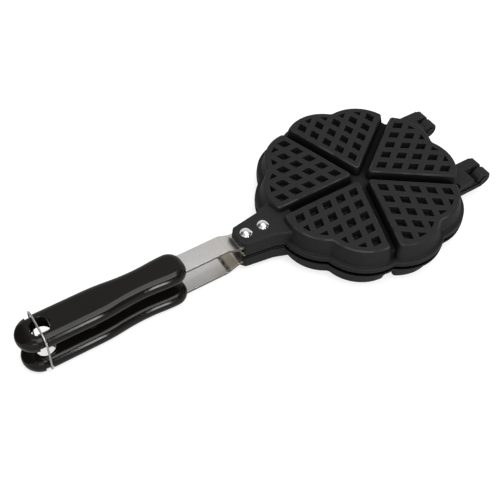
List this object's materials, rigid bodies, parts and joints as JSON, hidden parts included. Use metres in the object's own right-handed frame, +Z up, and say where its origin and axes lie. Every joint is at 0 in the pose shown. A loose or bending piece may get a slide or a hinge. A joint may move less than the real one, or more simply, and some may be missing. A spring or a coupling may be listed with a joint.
{
  "type": "heart waffle iron",
  "caption": "Hinged cast waffle iron for a stovetop: two coated plates with heart-shaped moulds, long moulded grips on steel straps and a wire bail that locks them.",
  "frame": {"origin": "under the middle of the closed iron, in the plane of the lower plate's flat outer face", "axes": "+X from the grips towards the hinge, +Y to the far side, +Z up through the closed plates"},
  "size_m": [0.3758, 0.1626, 0.0384],
  "materials": {
    "coated_plate": "cast aluminium with a matte black non-stick coating",
    "steel_strap": "bright stainless steel strip",
    "bright_rivet": "bright polished rivet",
    "moulded_grip": "glossy black thermoset moulding",
    "brass_insert": "plain turned brass",
    "steel_screw": "blackened steel",
    "steel_pin": "blackened steel",
    "bright_wire": "bright steel wire"
  },
  "bodies": {
    "lower_half": {"lower_plate": "coated_plate", "lower_strap": "steel_strap", "lower_front_rivet": "bright_rivet", "lower_rear_rivet": "bright_rivet", "lower_grip": "moulded_grip", "lower_grip_insert": "brass_insert", "lower_grip_screw": "steel_screw", "far_hinge_pin": "steel_pin", "near_hinge_pin": "steel_pin"},
    "upper_half": {"upper_plate": "coated_plate", "upper_strap": "steel_strap", "upper_front_rivet": "bright_rivet", "upper_rear_rivet": "bright_rivet", "upper_grip": "moulded_grip", "upper_grip_insert": "brass_insert", "upper_grip_screw": "steel_screw"},
    "bail": {"locking_bail": "bright_wire"}
  },
  "joints": [
    {"name": "main_hinge", "type": "hinge", "parent": "lower_half", "child": "upper_half", "pos_m": [0.1811, 0, 0.0178], "axis": [0, 1, 0], "range_deg": [0, 180]},
    {"name": "bail_pivot", "type": "hinge", "parent": "lower_half", "child": "bail", "pos_m": [-0.1729, 0, 0.0059], "axis": [0, -1, 0], "range_deg": [0, 255]}
  ]
}
